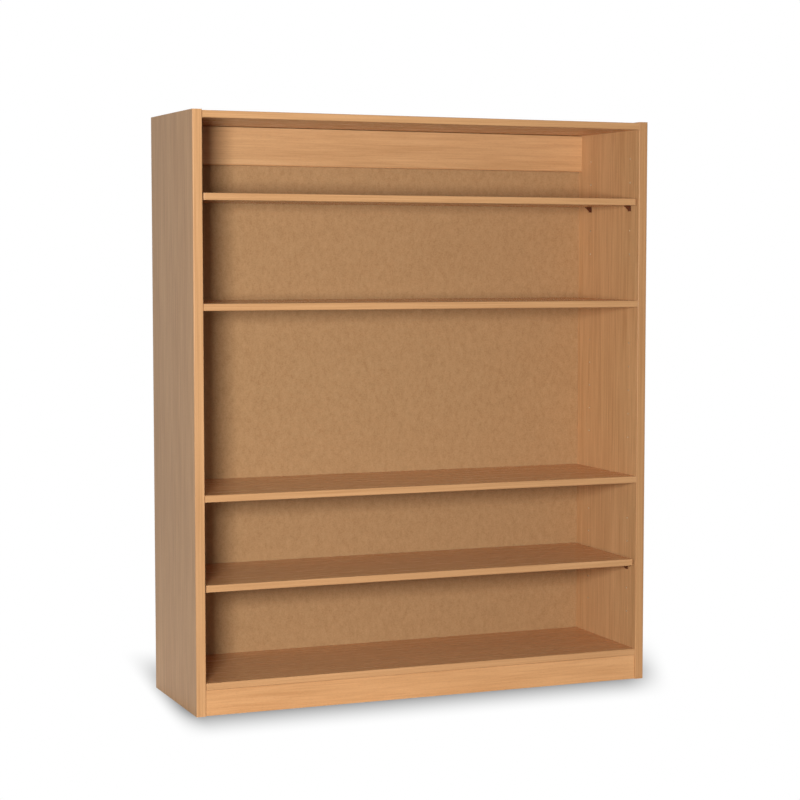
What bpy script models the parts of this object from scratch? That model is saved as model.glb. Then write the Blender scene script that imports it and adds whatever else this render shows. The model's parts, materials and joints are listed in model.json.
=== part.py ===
"""A free-standing bookcase of laminated board, with two fixed shelves and two loose ones.

Metres, +Z up. The origin is on the floor under the middle of the case, and the open front faces -Y.
"""

import math

import bmesh
import bpy
from mathutils import Matrix, Vector

# Outside size of the case
WIDTH = 1.250
DEPTH = 0.390
HEIGHT = 1.500

# Boards and edging
SIDE_THICKNESS = 0.025
BOARD_THICKNESS = 0.018
BACK_THICKNESS = 0.006
EDGE_THICKNESS = 0.003
EDGE_RADIUS = 0.0027
EDGE_STEPS = 4

# Gaps at the joints
JOINT_GAP = 0.0003
GLUE_LINE = 0.0001

# Fixed pieces
TOP_DROP = 0.0024
LOWER_FIXED_DROP = 0.0016
BASE_HEIGHT = 0.065
PLINTH_SETBACK = 0.003
PLINTH_FLOOR_GAP = 0.0005
RAIL_HEIGHT = 0.099
RAIL_TOP_GAP = 0.0017
BACK_INSET = 0.021
GROOVE_DEPTH = 0.008
GROOVE_END_GAP = 0.0005

# Support holes in the sides
HOLE_DIAMETER = 0.005
HOLE_DEPTH = 0.012
HOLE_PITCH = 0.064
HOLES_IN_BAY = 5
FRONT_COLUMN = 0.052
REAR_COLUMN = 0.075
LOWER_ROW_SHIFT = -0.0026
MIDDLE_ROW_SHIFT = 0.0017
UPPER_ROW_SHIFT = 0.0239

# Loose shelves
SHELF_SETBACK = 0.0075
SHELF_REAR_GAP = 0.002
SHELF_END_GAP = 0.004
LOWER_SHELF_ROW = 2
UPPER_SHELF_ROW = 2

# Push-in supports
SUPPORT_LENGTH = 0.0142
SUPPORT_WIDTH = 0.014
SUPPORT_HEIGHT = 0.0148
SUPPORT_WALL = 0.0025
SUPPORT_RIB = 0.003
SUPPORT_RISE = 0.0025
PIN_LENGTH = 0.009
PIN_CLEARANCE = 0.0002
PIN_TIP = 0.0006

# Dowels
DOWEL_DIAMETER = 0.008
DOWEL_IN_SIDE = 0.013
DOWEL_IN_BOARD = 0.024
DOWEL_CHAMFER = 0.001
DOWEL_CLEARANCE = 0.0003
DOWEL_END_GAP = 0.0005
RAIL_DOWEL_INSET = 0.025
PLINTH_DOWEL_INSET = 0.018

# Screws through the back into the base shelf
SCREW_HEAD = 0.0035
SCREW_HEAD_RIM = 0.0006
SCREW_CONE = 0.0019
SCREW_SHANK = 0.0016
SCREW_LENGTH = 0.022
SCREW_POINT = 0.004
SCREW_CLEARANCE = 0.0003
SCREW_INSET = 0.150

# How finely round shapes are cut and shaded, and how far a cutter runs past a face
HOLE_SIDES = 16
DOWEL_SIDES = 10
SCREW_SIDES = 12
SHARP_DEGREES = 40
OVERRUN = 0.002

# Share of a length that counts as nearly all of it, and the size of an empty on the screen
NEARLY_ALL = 0.9
EMPTY_SIZE = 0.05

# Places worked out from the sizes above
LEFT, RIGHT = -1, 1
FRONT = -DEPTH / 2
REAR = DEPTH / 2
SIDE_INNER = WIDTH / 2 - SIDE_THICKNESS
BOARD_END = SIDE_INNER - JOINT_GAP
CORE_FRONT = FRONT + EDGE_THICKNESS + GLUE_LINE
BACK_REAR = REAR - BACK_INSET
BACK_FRONT = BACK_REAR - BACK_THICKNESS
BOARD_REAR = BACK_FRONT - JOINT_GAP
BASE_TOP = BASE_HEIGHT + BOARD_THICKNESS
TOP_UNDERSIDE = HEIGHT - TOP_DROP - BOARD_THICKNESS
EVEN_BAY = (TOP_UNDERSIDE - BASE_TOP - 2 * BOARD_THICKNESS) / 3
LOWER_FIXED = BASE_TOP + EVEN_BAY - LOWER_FIXED_DROP
MIDDLE_FLOOR = LOWER_FIXED + BOARD_THICKNESS
UPPER_FIXED = TOP_UNDERSIDE - EVEN_BAY - BOARD_THICKNESS
UPPER_FLOOR = UPPER_FIXED + BOARD_THICKNESS
BACK_TOP = TOP_UNDERSIDE + GROOVE_DEPTH - GROOVE_END_GAP
COLUMNS = {"front": FRONT + FRONT_COLUMN, "rear": BACK_FRONT - REAR_COLUMN}
SIDES = {"left": LEFT, "right": RIGHT}

# Colour, roughness and metallic value of each finish
FINISHES = {
    "beech laminate": ((0.58, 0.33, 0.155), 0.45, 0.0),
    "beech edging": ((0.64, 0.38, 0.19), 0.40, 0.0),
    "fibreboard": ((0.44, 0.26, 0.12), 0.75, 0.0),
    "brown plastic": ((0.050, 0.018, 0.010), 0.40, 0.0),
    "dowel wood": ((0.62, 0.46, 0.27), 0.70, 0.0),
    "zinc-plated steel": ((0.60, 0.59, 0.56), 0.35, 1.0),
}


def row_heights(bay_floor, bay_ceiling, shift):
    """Heights of one bay's holes, centred in the bay apart from a stated shift."""
    middle = (bay_floor + bay_ceiling) / 2 + shift
    return [middle + (row - (HOLES_IN_BAY - 1) / 2) * HOLE_PITCH for row in range(HOLES_IN_BAY)]


LOWER_ROWS = row_heights(BASE_TOP, LOWER_FIXED, LOWER_ROW_SHIFT)
MIDDLE_ROWS = row_heights(MIDDLE_FLOOR, UPPER_FIXED, MIDDLE_ROW_SHIFT)
UPPER_ROWS = row_heights(UPPER_FLOOR, TOP_UNDERSIDE, UPPER_ROW_SHIFT)


def clear_scene():
    for obj in list(bpy.data.objects):
        bpy.data.objects.remove(obj)


def add_empty(name, location):
    empty = bpy.data.objects.new(name, None)
    empty.empty_display_size = EMPTY_SIZE
    empty.location = location
    bpy.context.scene.collection.objects.link(empty)
    return empty


def add_object(name, mesh, location, finish, parent):
    """One named piece with a material of its own; location is in the world."""
    obj = bpy.data.objects.new(name, mesh)
    bpy.context.scene.collection.objects.link(obj)
    obj.parent = parent
    obj.location = Vector(location) - parent.location
    colour, roughness, metallic = FINISHES[finish]
    material = bpy.data.materials.new(name + " " + finish)
    material.use_nodes = True
    shader = material.node_tree.nodes["Principled BSDF"]
    shader.inputs["Base Color"].default_value = (*colour, 1.0)
    shader.inputs["Roughness"].default_value = roughness
    shader.inputs["Metallic"].default_value = metallic
    material.diffuse_color = (*colour, 1.0)
    obj.data.materials.append(None)
    obj.material_slots[0].link = "OBJECT"
    obj.material_slots[0].material = material
    return obj


def add_cutter(name, mesh, location=(0.0, 0.0, 0.0)):
    cutter = bpy.data.objects.new(name, mesh)
    cutter.location = location
    cutter.hide_render = True
    cutter.display_type = "WIRE"
    bpy.context.scene.collection.objects.link(cutter)
    return cutter


def mesh_of(name, bm, smooth=False):
    mesh = bpy.data.meshes.new(name)
    bmesh.ops.recalc_face_normals(bm, faces=bm.faces)
    bm.to_mesh(mesh)
    bm.free()
    if smooth:
        mesh.shade_smooth()
        mesh.set_sharp_from_angle(angle=math.radians(SHARP_DEGREES))
    return mesh


def cuboid(size, centre=(0.0, 0.0, 0.0)):
    bm = bmesh.new()
    bmesh.ops.create_cube(bm, size=1.0, matrix=Matrix.Translation(centre) @ Matrix.Diagonal((*size, 1.0)))
    return bm


def add_board(name, low, high, finish, parent):
    """A flat board between two corners."""
    low, high = Vector(low), Vector(high)
    return add_object(name, mesh_of(name, cuboid(high - low)), (low + high) / 2, finish, parent)


def add_edging(name, low, high, outward, parent, front_corner=False):
    """A strip between two corners, with both long arrises of its outward face rounded over.

    An end strip's upright arris at the front is a corner of the shelf, and it can be rounded too.
    """
    low, high, outward = Vector(low), Vector(high), Vector(outward)
    size = high - low
    length_axis = max(range(3), key=lambda axis: size[axis])
    bm = cuboid(size)
    face_at = abs(size.dot(outward)) / 2

    def rounded(edge):
        first, second = (vert.co for vert in edge.verts)
        on_face = min(first.dot(outward), second.dot(outward)) > face_at * NEARLY_ALL
        long_arris = abs(first[length_axis] - second[length_axis]) > size[length_axis] * NEARLY_ALL
        front_arris = front_corner and max(first.y, second.y) < -size.y / 2 * NEARLY_ALL
        return on_face and (long_arris or front_arris)

    radius = min(EDGE_RADIUS, EDGE_THICKNESS * NEARLY_ALL)
    edges = [edge for edge in bm.edges if rounded(edge)]
    bmesh.ops.bevel(bm, geom=edges, offset=radius, segments=EDGE_STEPS, profile=0.5, affect="EDGES")
    return add_object(name, mesh_of(name, bm, smooth=True), (low + high) / 2, "beech edging", parent)


def add_cylinder_x(bm, start, end, radius, sides):
    """A closed cylinder along X between two points, added to a mesh being built."""
    start, end = Vector(start), Vector(end)
    turn = Matrix.Translation((start + end) / 2) @ Matrix.Rotation(math.pi / 2, 4, "Y")
    length = abs(end.x - start.x)
    return bmesh.ops.create_cone(
        bm, cap_ends=True, segments=sides, radius1=radius, radius2=radius, depth=length, matrix=turn
    )["verts"]


def turned_mesh(name, profile, sides):
    """A shape turned about Y from (distance along Y, radius) points, closed on the axis at both ends."""
    bm = bmesh.new()
    rings = []
    for along, radius in profile:
        angles = [2 * math.pi * step / sides for step in range(sides)]
        rings.append([bm.verts.new((radius * math.sin(a), along, radius * math.cos(a))) for a in angles])
    for near, far in zip(rings, rings[1:]):
        for step in range(sides):
            after = (step + 1) % sides
            bm.faces.new((near[step], near[after], far[after], far[step]))
    bm.faces.new(rings[0])
    bm.faces.new(rings[-1])
    return mesh_of(name, bm, smooth=True)


def cut(obj, cutter):
    modifier = obj.modifiers.new("cut by " + cutter.name, "BOOLEAN")
    modifier.operation = "DIFFERENCE"
    modifier.solver = "EXACT"
    modifier.object = cutter


def drill_x(obj, holes):
    """Holes along X. Each is (mouth point, direction into the material, depth, radius, sides)."""
    bm = bmesh.new()
    for mouth, direction, depth, radius, sides in holes:
        mouth = Vector(mouth)
        inward = Vector((direction, 0.0, 0.0))
        add_cylinder_x(bm, mouth - inward * OVERRUN, mouth + inward * depth, radius, sides)
    cut(obj, add_cutter(obj.name + "_drill", mesh_of(obj.name + "_drill", bm, smooth=True)))


# Each piece that stays put hangs from this empty
clear_scene()
carcass = add_empty("carcass", (0.0, 0.0, 0.0))

# Side panels, edged at the front and grooved for the back
side_panels = {}
for side, sign in SIDES.items():
    inner, outer = sign * SIDE_INNER, sign * WIDTH / 2
    low_x, high_x = min(inner, outer), max(inner, outer)
    panel = add_board(
        side + "_side_panel", (low_x, CORE_FRONT, 0.0), (high_x, REAR, HEIGHT), "beech laminate", carcass
    )
    add_edging(
        side + "_side_edging",
        (low_x, FRONT, 0.0),
        (high_x, FRONT + EDGE_THICKNESS, HEIGHT),
        (0, -1, 0),
        carcass,
    )
    groove_size = (
        GROOVE_DEPTH + OVERRUN,
        BACK_THICKNESS + 2 * JOINT_GAP,
        BACK_TOP + GROOVE_END_GAP + OVERRUN,
    )
    groove_centre = (
        inner + sign * (GROOVE_DEPTH - OVERRUN) / 2,
        (BACK_FRONT + BACK_REAR) / 2,
        groove_size[2] / 2 - OVERRUN,
    )
    groove = mesh_of(side + "_groove", cuboid(groove_size))
    cut(panel, add_cutter(side + "_groove", groove, groove_centre))
    side_panels[side] = panel

# Fixed boards between the sides: name, underside and rear edge of each
FIXED_BOARDS = (
    ("base_shelf", BASE_HEIGHT, BOARD_REAR),
    ("lower_fixed_shelf", LOWER_FIXED, BOARD_REAR),
    ("upper_fixed_shelf", UPPER_FIXED, BOARD_REAR),
    ("top_panel", TOP_UNDERSIDE, REAR),
)
boards = {}
for name, underside, rear in FIXED_BOARDS:
    upper_face = underside + BOARD_THICKNESS
    boards[name] = add_board(
        name, (-BOARD_END, CORE_FRONT, underside), (BOARD_END, rear, upper_face), "beech laminate", carcass
    )
    add_edging(
        name + "_edging",
        (-BOARD_END, FRONT, underside),
        (BOARD_END, FRONT + EDGE_THICKNESS, upper_face),
        (0, -1, 0),
        carcass,
    )

# Groove under the top panel that takes the back's upper edge
top_groove = mesh_of(
    "top_groove",
    cuboid((WIDTH, BACK_THICKNESS + 2 * JOINT_GAP, GROOVE_DEPTH + OVERRUN)),
)
top_groove_place = (0.0, (BACK_FRONT + BACK_REAR) / 2, TOP_UNDERSIDE + (GROOVE_DEPTH - OVERRUN) / 2)
cut(boards["top_panel"], add_cutter("top_groove", top_groove, top_groove_place))

# Plinth under the base shelf, a little behind its front edge
plinth_front = FRONT + PLINTH_SETBACK
plinth_rear = plinth_front + BOARD_THICKNESS
plinth_top = BASE_HEIGHT - JOINT_GAP
boards["plinth"] = add_board(
    "plinth",
    (-BOARD_END, plinth_front, PLINTH_FLOOR_GAP),
    (BOARD_END, plinth_rear, plinth_top),
    "beech laminate",
    carcass,
)

# Rail a little below the top, against the back, edged along its lower side
rail_top = TOP_UNDERSIDE - RAIL_TOP_GAP
rail_bottom = rail_top - RAIL_HEIGHT
rail_core = rail_bottom + EDGE_THICKNESS + GLUE_LINE
rail_front = BOARD_REAR - BOARD_THICKNESS
boards["top_rear_rail"] = add_board(
    "top_rear_rail",
    (-BOARD_END, rail_front, rail_core),
    (BOARD_END, BOARD_REAR, rail_top),
    "beech laminate",
    carcass,
)
add_edging(
    "top_rear_rail_edging",
    (-BOARD_END, rail_front, rail_bottom),
    (BOARD_END, BOARD_REAR, rail_bottom + EDGE_THICKNESS),
    (0, 0, -1),
    carcass,
)

# Back panel, in the grooves of the sides and the top
back_end = SIDE_INNER + GROOVE_DEPTH - GROOVE_END_GAP
back_panel = add_board(
    "back_panel",
    (-back_end, BACK_FRONT, BASE_HEIGHT),
    (back_end, BACK_REAR, BACK_TOP),
    "fibreboard",
    carcass,
)

# Dowel places: board, name of the place, y and z of the axis
dowel_places = []
for name, underside, rear in FIXED_BOARDS:
    for column, y in COLUMNS.items():
        dowel_places.append((name, column, y, underside + BOARD_THICKNESS / 2))
rail_middle = (rail_front + BOARD_REAR) / 2
dowel_places.append(("top_rear_rail", "lower", rail_middle, rail_bottom + RAIL_DOWEL_INSET))
dowel_places.append(("top_rear_rail", "upper", rail_middle, rail_top - RAIL_DOWEL_INSET))
plinth_middle = (plinth_front + plinth_rear) / 2
dowel_places.append(("plinth", "lower", plinth_middle, PLINTH_FLOOR_GAP + PLINTH_DOWEL_INSET))
dowel_places.append(("plinth", "upper", plinth_middle, plinth_top - PLINTH_DOWEL_INSET))

# Holes of both sides and of the boards' ends, and the dowels in them
side_holes = {side: [] for side in SIDES}
board_holes = {name: [] for name in boards}
dowel_radius = DOWEL_DIAMETER / 2
dowel_hole = dowel_radius + DOWEL_CLEARANCE
for name, place, y, z in dowel_places:
    for side, sign in SIDES.items():
        face = Vector((sign * SIDE_INNER, y, z))
        end = Vector((sign * BOARD_END, y, z))
        side_holes[side].append((face, sign, DOWEL_IN_SIDE + DOWEL_END_GAP, dowel_hole, DOWEL_SIDES))
        board_holes[name].append((end, -sign, DOWEL_IN_BOARD + DOWEL_END_GAP, dowel_hole, DOWEL_SIDES))
        bm = bmesh.new()
        board_reach = -sign * (DOWEL_IN_BOARD + JOINT_GAP)
        add_cylinder_x(bm, (board_reach, 0, 0), (sign * DOWEL_IN_SIDE, 0, 0), dowel_radius, DOWEL_SIDES)
        rims = [edge for edge in bm.edges if abs(edge.verts[0].co.x - edge.verts[1].co.x) < OVERRUN]
        bmesh.ops.bevel(bm, geom=rims, offset=DOWEL_CHAMFER, segments=1, affect="EDGES")
        dowel_name = f"{name}_dowel_{place}_{side}"
        add_object(dowel_name, mesh_of(dowel_name, bm, smooth=True), face, "dowel wood", carcass)

for name, holes in board_holes.items():
    drill_x(boards[name], holes)

# Support holes in both sides
for side, sign in SIDES.items():
    for y in COLUMNS.values():
        for z in LOWER_ROWS + MIDDLE_ROWS + UPPER_ROWS:
            mouth = (sign * SIDE_INNER, y, z)
            side_holes[side].append((mouth, sign, HOLE_DEPTH, HOLE_DIAMETER / 2, HOLE_SIDES))
    drill_x(side_panels[side], side_holes[side])

# Countersunk screws through the back into the base shelf's rear edge
head_cone_end = SCREW_HEAD_RIM + SCREW_CONE
screw_profile = (
    (0.0, SCREW_HEAD),
    (-SCREW_HEAD_RIM, SCREW_HEAD),
    (-head_cone_end, SCREW_SHANK),
    (-SCREW_LENGTH + SCREW_POINT, SCREW_SHANK),
    (-SCREW_LENGTH, SCREW_SHANK / 4),
)
screw_hole_profile = (
    (OVERRUN, SCREW_HEAD + SCREW_CLEARANCE),
    (-SCREW_HEAD_RIM - SCREW_CLEARANCE, SCREW_HEAD + SCREW_CLEARANCE),
    (-head_cone_end - SCREW_CLEARANCE, SCREW_SHANK + SCREW_CLEARANCE),
    (-SCREW_LENGTH - SCREW_CLEARANCE, SCREW_SHANK + SCREW_CLEARANCE),
)
screw_x = SIDE_INNER - SCREW_INSET
for place, x in (("left", -screw_x), ("middle", 0.0), ("right", screw_x)):
    screw_name = "back_panel_screw_" + place
    head = (x, BACK_REAR, BASE_HEIGHT + BOARD_THICKNESS / 2)
    add_object(
        screw_name, turned_mesh(screw_name, screw_profile, SCREW_SIDES), head, "zinc-plated steel", carcass
    )
    hole = add_cutter(
        screw_name + "_hole", turned_mesh(screw_name + "_hole", screw_hole_profile, SCREW_SIDES), head
    )
    cut(back_panel, hole)
    cut(boards["base_shelf"], hole)

# Shape of one push-in support, with its pin along -X from the side's face
pin_radius = HOLE_DIAMETER / 2 - PIN_CLEARANCE
plate_x = JOINT_GAP
ledge_end = plate_x + SUPPORT_LENGTH
ledge_top = SUPPORT_RISE
plate_bottom = ledge_top - SUPPORT_HEIGHT
outline = (
    (plate_x, plate_bottom),
    (plate_x + SUPPORT_WALL, plate_bottom),
    (plate_x + SUPPORT_WALL, ledge_top - SUPPORT_WALL),
    (ledge_end, ledge_top - SUPPORT_WALL),
    (ledge_end, ledge_top),
    (plate_x, ledge_top),
)
bm = bmesh.new()
angle_face = bm.faces.new([bm.verts.new((x, -SUPPORT_WIDTH / 2, z)) for x, z in outline])
grown = bmesh.ops.extrude_face_region(bm, geom=[angle_face])
moved = [item for item in grown["geom"] if isinstance(item, bmesh.types.BMVert)]
bmesh.ops.translate(bm, verts=moved, vec=(0.0, SUPPORT_WIDTH, 0.0))
angle = add_cutter("support_angle", mesh_of("support_angle", bm))

bm = bmesh.new()
rib_outline = (
    (plate_x + SUPPORT_WALL / 2, plate_bottom + SUPPORT_WALL / 2),
    (ledge_end - SUPPORT_WALL / 2, ledge_top - SUPPORT_WALL / 2),
    (plate_x + SUPPORT_WALL / 2, ledge_top - SUPPORT_WALL / 2),
)
rib_face = bm.faces.new([bm.verts.new((x, -SUPPORT_RIB / 2, z)) for x, z in rib_outline])
grown = bmesh.ops.extrude_face_region(bm, geom=[rib_face])
moved = [item for item in grown["geom"] if isinstance(item, bmesh.types.BMVert)]
bmesh.ops.translate(bm, verts=moved, vec=(0.0, SUPPORT_RIB, 0.0))
rib = add_cutter("support_rib", mesh_of("support_rib", bm))

bm = bmesh.new()
add_cylinder_x(bm, (-PIN_LENGTH, 0, 0), (plate_x + SUPPORT_WALL / 2, 0, 0), pin_radius, HOLE_SIDES)
tip = [edge for edge in bm.edges if max(vert.co.x for vert in edge.verts) < -PIN_LENGTH * NEARLY_ALL]
bmesh.ops.bevel(bm, geom=tip, offset=PIN_TIP, segments=1, affect="EDGES")
pin = add_cutter("support_pin", mesh_of("support_pin", bm, smooth=True))

for helper in (rib, pin):
    modifier = angle.modifiers.new("join " + helper.name, "BOOLEAN")
    modifier.operation = "UNION"
    modifier.solver = "EXACT"
    modifier.object = helper
bpy.context.view_layer.update()
graph = bpy.context.evaluated_depsgraph_get()
support_mesh = bpy.data.meshes.new_from_object(angle.evaluated_get(graph))
support_mesh.name = "shelf_support"
for helper in (angle, rib, pin):
    bpy.data.objects.remove(helper)

# Loose shelves, edged in front and at both ends, each on four supports
LOOSE_SHELVES = (
    ("upper", UPPER_ROWS[UPPER_SHELF_ROW]),
    ("lower", LOWER_ROWS[LOWER_SHELF_ROW]),
)
shelf_front = FRONT + SHELF_SETBACK
shelf_rear = BACK_FRONT - SHELF_REAR_GAP
shelf_end = SIDE_INNER - SHELF_END_GAP
core_end = shelf_end - EDGE_THICKNESS - GLUE_LINE
for level, pin_height in LOOSE_SHELVES:
    name = level + "_adjustable_shelf"
    underside = pin_height + SUPPORT_RISE + JOINT_GAP
    upper_face = underside + BOARD_THICKNESS
    slide = add_empty(name + "_slide", (0.0, (shelf_front + shelf_rear) / 2, (underside + upper_face) / 2))
    add_board(
        name,
        (-core_end, shelf_front + EDGE_THICKNESS + GLUE_LINE, underside),
        (core_end, shelf_rear, upper_face),
        "beech laminate",
        slide,
    )
    add_edging(
        name + "_front_edging",
        (-core_end, shelf_front, underside),
        (core_end, shelf_front + EDGE_THICKNESS, upper_face),
        (0, -1, 0),
        slide,
    )
    for side, sign in SIDES.items():
        inner, outer = sign * (shelf_end - EDGE_THICKNESS), sign * shelf_end
        add_edging(
            f"{name}_{side}_edging",
            (min(inner, outer), shelf_front, underside),
            (max(inner, outer), shelf_rear, upper_face),
            (sign, 0, 0),
            slide,
            front_corner=True,
        )
        for column, y in COLUMNS.items():
            support_name = f"{level}_shelf_support_{column}_{side}"
            mouth = (sign * SIDE_INNER, y, pin_height)
            support = add_object(support_name, support_mesh.copy(), mouth, "brown plastic", carcass)
            support.rotation_euler = (0.0, 0.0, math.pi if sign == RIGHT else 0.0)
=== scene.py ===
# %% [markdown]
# # Dressing a beech-faced bookcase
# The real case is flat chipboard faced on both sides with a printed beech foil, with thicker plastic
# edging on the fronts, a bare fibreboard back and small brown plastic supports under the two loose
# shelves. Its boards are already exact solids, so this lesson keeps them and spends its effort on what a
# camera sees: finishes made of shader nodes, and finer shapes for the edging, the supports, the dowels
# and the screws.

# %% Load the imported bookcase
import json
import math

import bmesh
import bpy
from mathutils import Matrix, Vector


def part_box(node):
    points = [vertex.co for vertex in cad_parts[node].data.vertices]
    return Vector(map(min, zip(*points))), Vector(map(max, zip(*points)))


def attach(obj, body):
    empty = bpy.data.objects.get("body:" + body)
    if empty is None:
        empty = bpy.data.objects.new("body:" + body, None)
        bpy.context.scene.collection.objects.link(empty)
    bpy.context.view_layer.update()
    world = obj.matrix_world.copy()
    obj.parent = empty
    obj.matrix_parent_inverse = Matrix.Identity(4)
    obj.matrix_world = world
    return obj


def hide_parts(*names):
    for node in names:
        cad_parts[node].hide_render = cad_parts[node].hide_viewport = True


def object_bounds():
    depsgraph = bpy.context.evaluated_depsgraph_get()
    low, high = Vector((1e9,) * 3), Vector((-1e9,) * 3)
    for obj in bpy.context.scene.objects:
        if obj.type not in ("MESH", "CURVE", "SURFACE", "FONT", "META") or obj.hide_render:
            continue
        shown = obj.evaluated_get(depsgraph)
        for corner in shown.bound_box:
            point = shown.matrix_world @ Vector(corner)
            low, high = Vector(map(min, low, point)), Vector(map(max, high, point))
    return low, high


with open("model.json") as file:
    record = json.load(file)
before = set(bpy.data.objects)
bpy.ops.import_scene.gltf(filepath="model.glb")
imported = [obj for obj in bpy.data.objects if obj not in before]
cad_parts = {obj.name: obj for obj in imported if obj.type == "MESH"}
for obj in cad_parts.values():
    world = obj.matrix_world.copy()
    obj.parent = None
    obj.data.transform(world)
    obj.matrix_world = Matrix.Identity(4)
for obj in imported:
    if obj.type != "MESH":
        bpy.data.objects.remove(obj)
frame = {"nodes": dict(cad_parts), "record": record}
solid_low, solid_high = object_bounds()
solids = frame["nodes"]
nodes_on = frame["record"]["behaviour"]["bodies"]
body_of = {node: body for body, nodes in nodes_on.items() for node in nodes}

# %% [markdown]
# Every finish here is a small graph of shader nodes. Wiring nodes by hand in Python takes four lines for
# each one, so a few helpers come first: they start a material, feed a socket, add a node with its
# settings and plug a finish into its shader.

# %% Helpers for a finish
def new_finish(name):
    """A fresh material, its node tree and its shader."""
    finish = bpy.data.materials.new(name)
    finish.use_nodes = True
    tree = finish.node_tree
    return finish, tree, tree.nodes["Principled BSDF"]


def feed(tree, socket, value):
    """Links a socket to another node's output, or sets a plain value on the socket itself."""
    if isinstance(value, bpy.types.NodeSocket):
        tree.links.new(value, socket)
    else:
        socket.default_value = value


def add(tree, kind, inputs=None, **settings):
    """One node, with its settings made and its inputs fed."""
    made = tree.nodes.new("ShaderNode" + kind)
    for name, value in settings.items():
        setattr(made, name, value)
    for name, value in (inputs or {}).items():
        feed(tree, made.inputs[name], value)
    return made


def plug(tree, shader, **sockets):
    """Feeds the shader's sockets, with _ for a space in a socket's name."""
    for name, value in sockets.items():
        feed(tree, shader.inputs[name.replace("_", " ")], value)


print("helpers ready")

# %% [markdown]
# Two kinds of node turn up in nearly every finish: one does a sum, the other carries a value from one
# range into another. Each gets a helper that hands back its output, so that a finish reads like a
# formula.

# %% Sums and ranges
def maths(tree, operation, *values):
    """The value of one Math node."""
    return add(tree, "Math", dict(enumerate(values)), operation=operation).outputs["Value"]


def carried(tree, value, start, end, low=0.0, high=1.0, curve="LINEAR"):
    """A value carried from the range start to end into the range low to high, and held at both ends."""
    span = {"Value": value, "From Min": start, "From Max": end, "To Min": low, "To Max": high}
    return add(tree, "MapRange", span, interpolation_type=curve).outputs["Result"]


print("sums and ranges ready")

# %% [markdown]
# Wood figure is long along the grain and short across it. One noise texture gives that when its
# coordinates are stretched first, so each layer of the figure is described by two rates: features per
# metre across the grain and along it. The coordinates are the object's own, in metres, so the figure
# keeps its size on every board.

# %% Stretched coordinates and noise
AXES = "XYZ"
NOISE_MIDDLE = 0.5
GRAIN_ROUGHNESS = 0.55


def grain_space(tree, grain, across, along):
    """Object coordinates stretched along the grain axis, one unit to a feature."""
    rates = [across] * len(AXES)
    rates[AXES.index(grain)] = along
    place = add(tree, "TexCoord").outputs["Object"]
    return add(tree, "VectorMath", {0: place, 1: rates}, operation="MULTIPLY").outputs["Vector"]


def grain_noise(tree, grain, rates, detail=2.0, distortion=0.0):
    """Noise drawn out along the grain, from rates across and along it."""
    inputs = {"Vector": grain_space(tree, grain, *rates), "Scale": 1.0, "Detail": detail}
    inputs.update({"Roughness": GRAIN_ROUGHNESS, "Distortion": distortion})
    return add(tree, "TexNoise", inputs).outputs["Fac"]


def even_noise(tree, scale, detail=2.0, **more):
    """Noise that is alike in every direction."""
    place = add(tree, "TexCoord").outputs["Object"]
    inputs = {"Vector": place, "Scale": scale, "Detail": detail, **more}
    return add(tree, "TexNoise", inputs).outputs["Fac"]


def weighed(tree, value, weight, base):
    """base plus weight times how far a noise lies from its middle."""
    return maths(tree, "MULTIPLY_ADD", maths(tree, "SUBTRACT", value, NOISE_MIDDLE), weight, base)


print("noise ready")

# %% [markdown]
# A noise is only a number, so a colour ramp turns it into tones. Wood that is darker is also a deeper
# brown, as its blue fades faster than its red. Scaling all three channels alike would look like a shadow
# on it, so each channel gets its own power of one share.

# %% Tones
DEEPENING = (1.0, 1.3, 1.7)
WOOD_PLACES = (0.2, 0.5, 0.8)


def tones(tree, value, stops):
    """A colour ramp through (place, colour) stops."""
    ramp = add(tree, "ValToRGB", {"Fac": value})
    elements = ramp.color_ramp.elements
    while len(elements) < len(stops):
        elements.new(0.5)
    for element, (place, colour) in zip(elements, stops):
        element.position = place
        element.color = (*colour, 1.0)
    return ramp.outputs["Color"]


def shade(colour, share):
    """The same hue, darker or paler."""
    return tuple(channel * share for channel in colour)


def deepened(colour, share):
    """A darker tone that is also a deeper brown, or a paler one that is also whiter."""
    return tuple(channel * share**power for channel, power in zip(colour, DEEPENING))


def wood_tones(tree, value, colour, dark, pale):
    """A ramp from a deeper brown, through the colour itself, to a paler one."""
    colours = (deepened(colour, dark), colour, deepened(colour, pale))
    return tones(tree, value, list(zip(WOOD_PLACES, colours)))


print("tones ready")

# %% [markdown]
# Specks are the peaks of a fine noise, laid over the tones by a Mix node. Pores and fibres also stand up
# or sink in a little. Modelling anything that small would cost far too many faces, so a bump gives the
# finest relief.

# %% Specks and relief
# A Mix node has sockets for each kind of data, and these are the ones for colours
MIX_UNDER = 6
MIX_OVER = 7
MIX_RESULT = 2


def specked(tree, colour, peaks, strength, dark):
    """A colour with dark specks laid over it."""
    share = maths(tree, "MULTIPLY", peaks, strength)
    inputs = {"Factor": share, MIX_UNDER: colour, MIX_OVER: (*dark, 1.0)}
    return add(tree, "Mix", inputs, data_type="RGBA").outputs[MIX_RESULT]


def relief(tree, height, strength, depth, invert=False):
    """The normal of a fine relief, with its depth in metres."""
    inputs = {"Strength": strength, "Distance": depth, "Height": height}
    return add(tree, "Bump", inputs, invert=invert).outputs["Normal"]


print("specks and relief ready")

# %% [markdown]
# Beech foil is a photographic print under clear resin: pale brown, with soft bands, stripes and fine
# streaks, faint arched growth lines and thousands of short dark flecks. An image would show that at one
# size only, so the print is built from layers of noise. The arches are contour lines: a slow stretched
# noise passed through a sine wave. The resin gives a low even gloss, and the flecks press a faint texture
# into it.

# %% Beech print
ARCH_RATE = (7.0, 0.45)
ARCHES = 9.0
ARCH_STRENGTH = 0.035
LAYER_DETAIL = 3.0
LAYER_DISTORTION = 0.3
FLECK_RATE = (1400.0, 120.0)
FLECK_RANGE = (0.60, 0.70)
FLECK_STRENGTH = 0.22
FLECK_TONE = 0.45
# A relief has a strength and a depth in metres
FLECK_RELIEF = (0.25, 0.00006)
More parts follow.
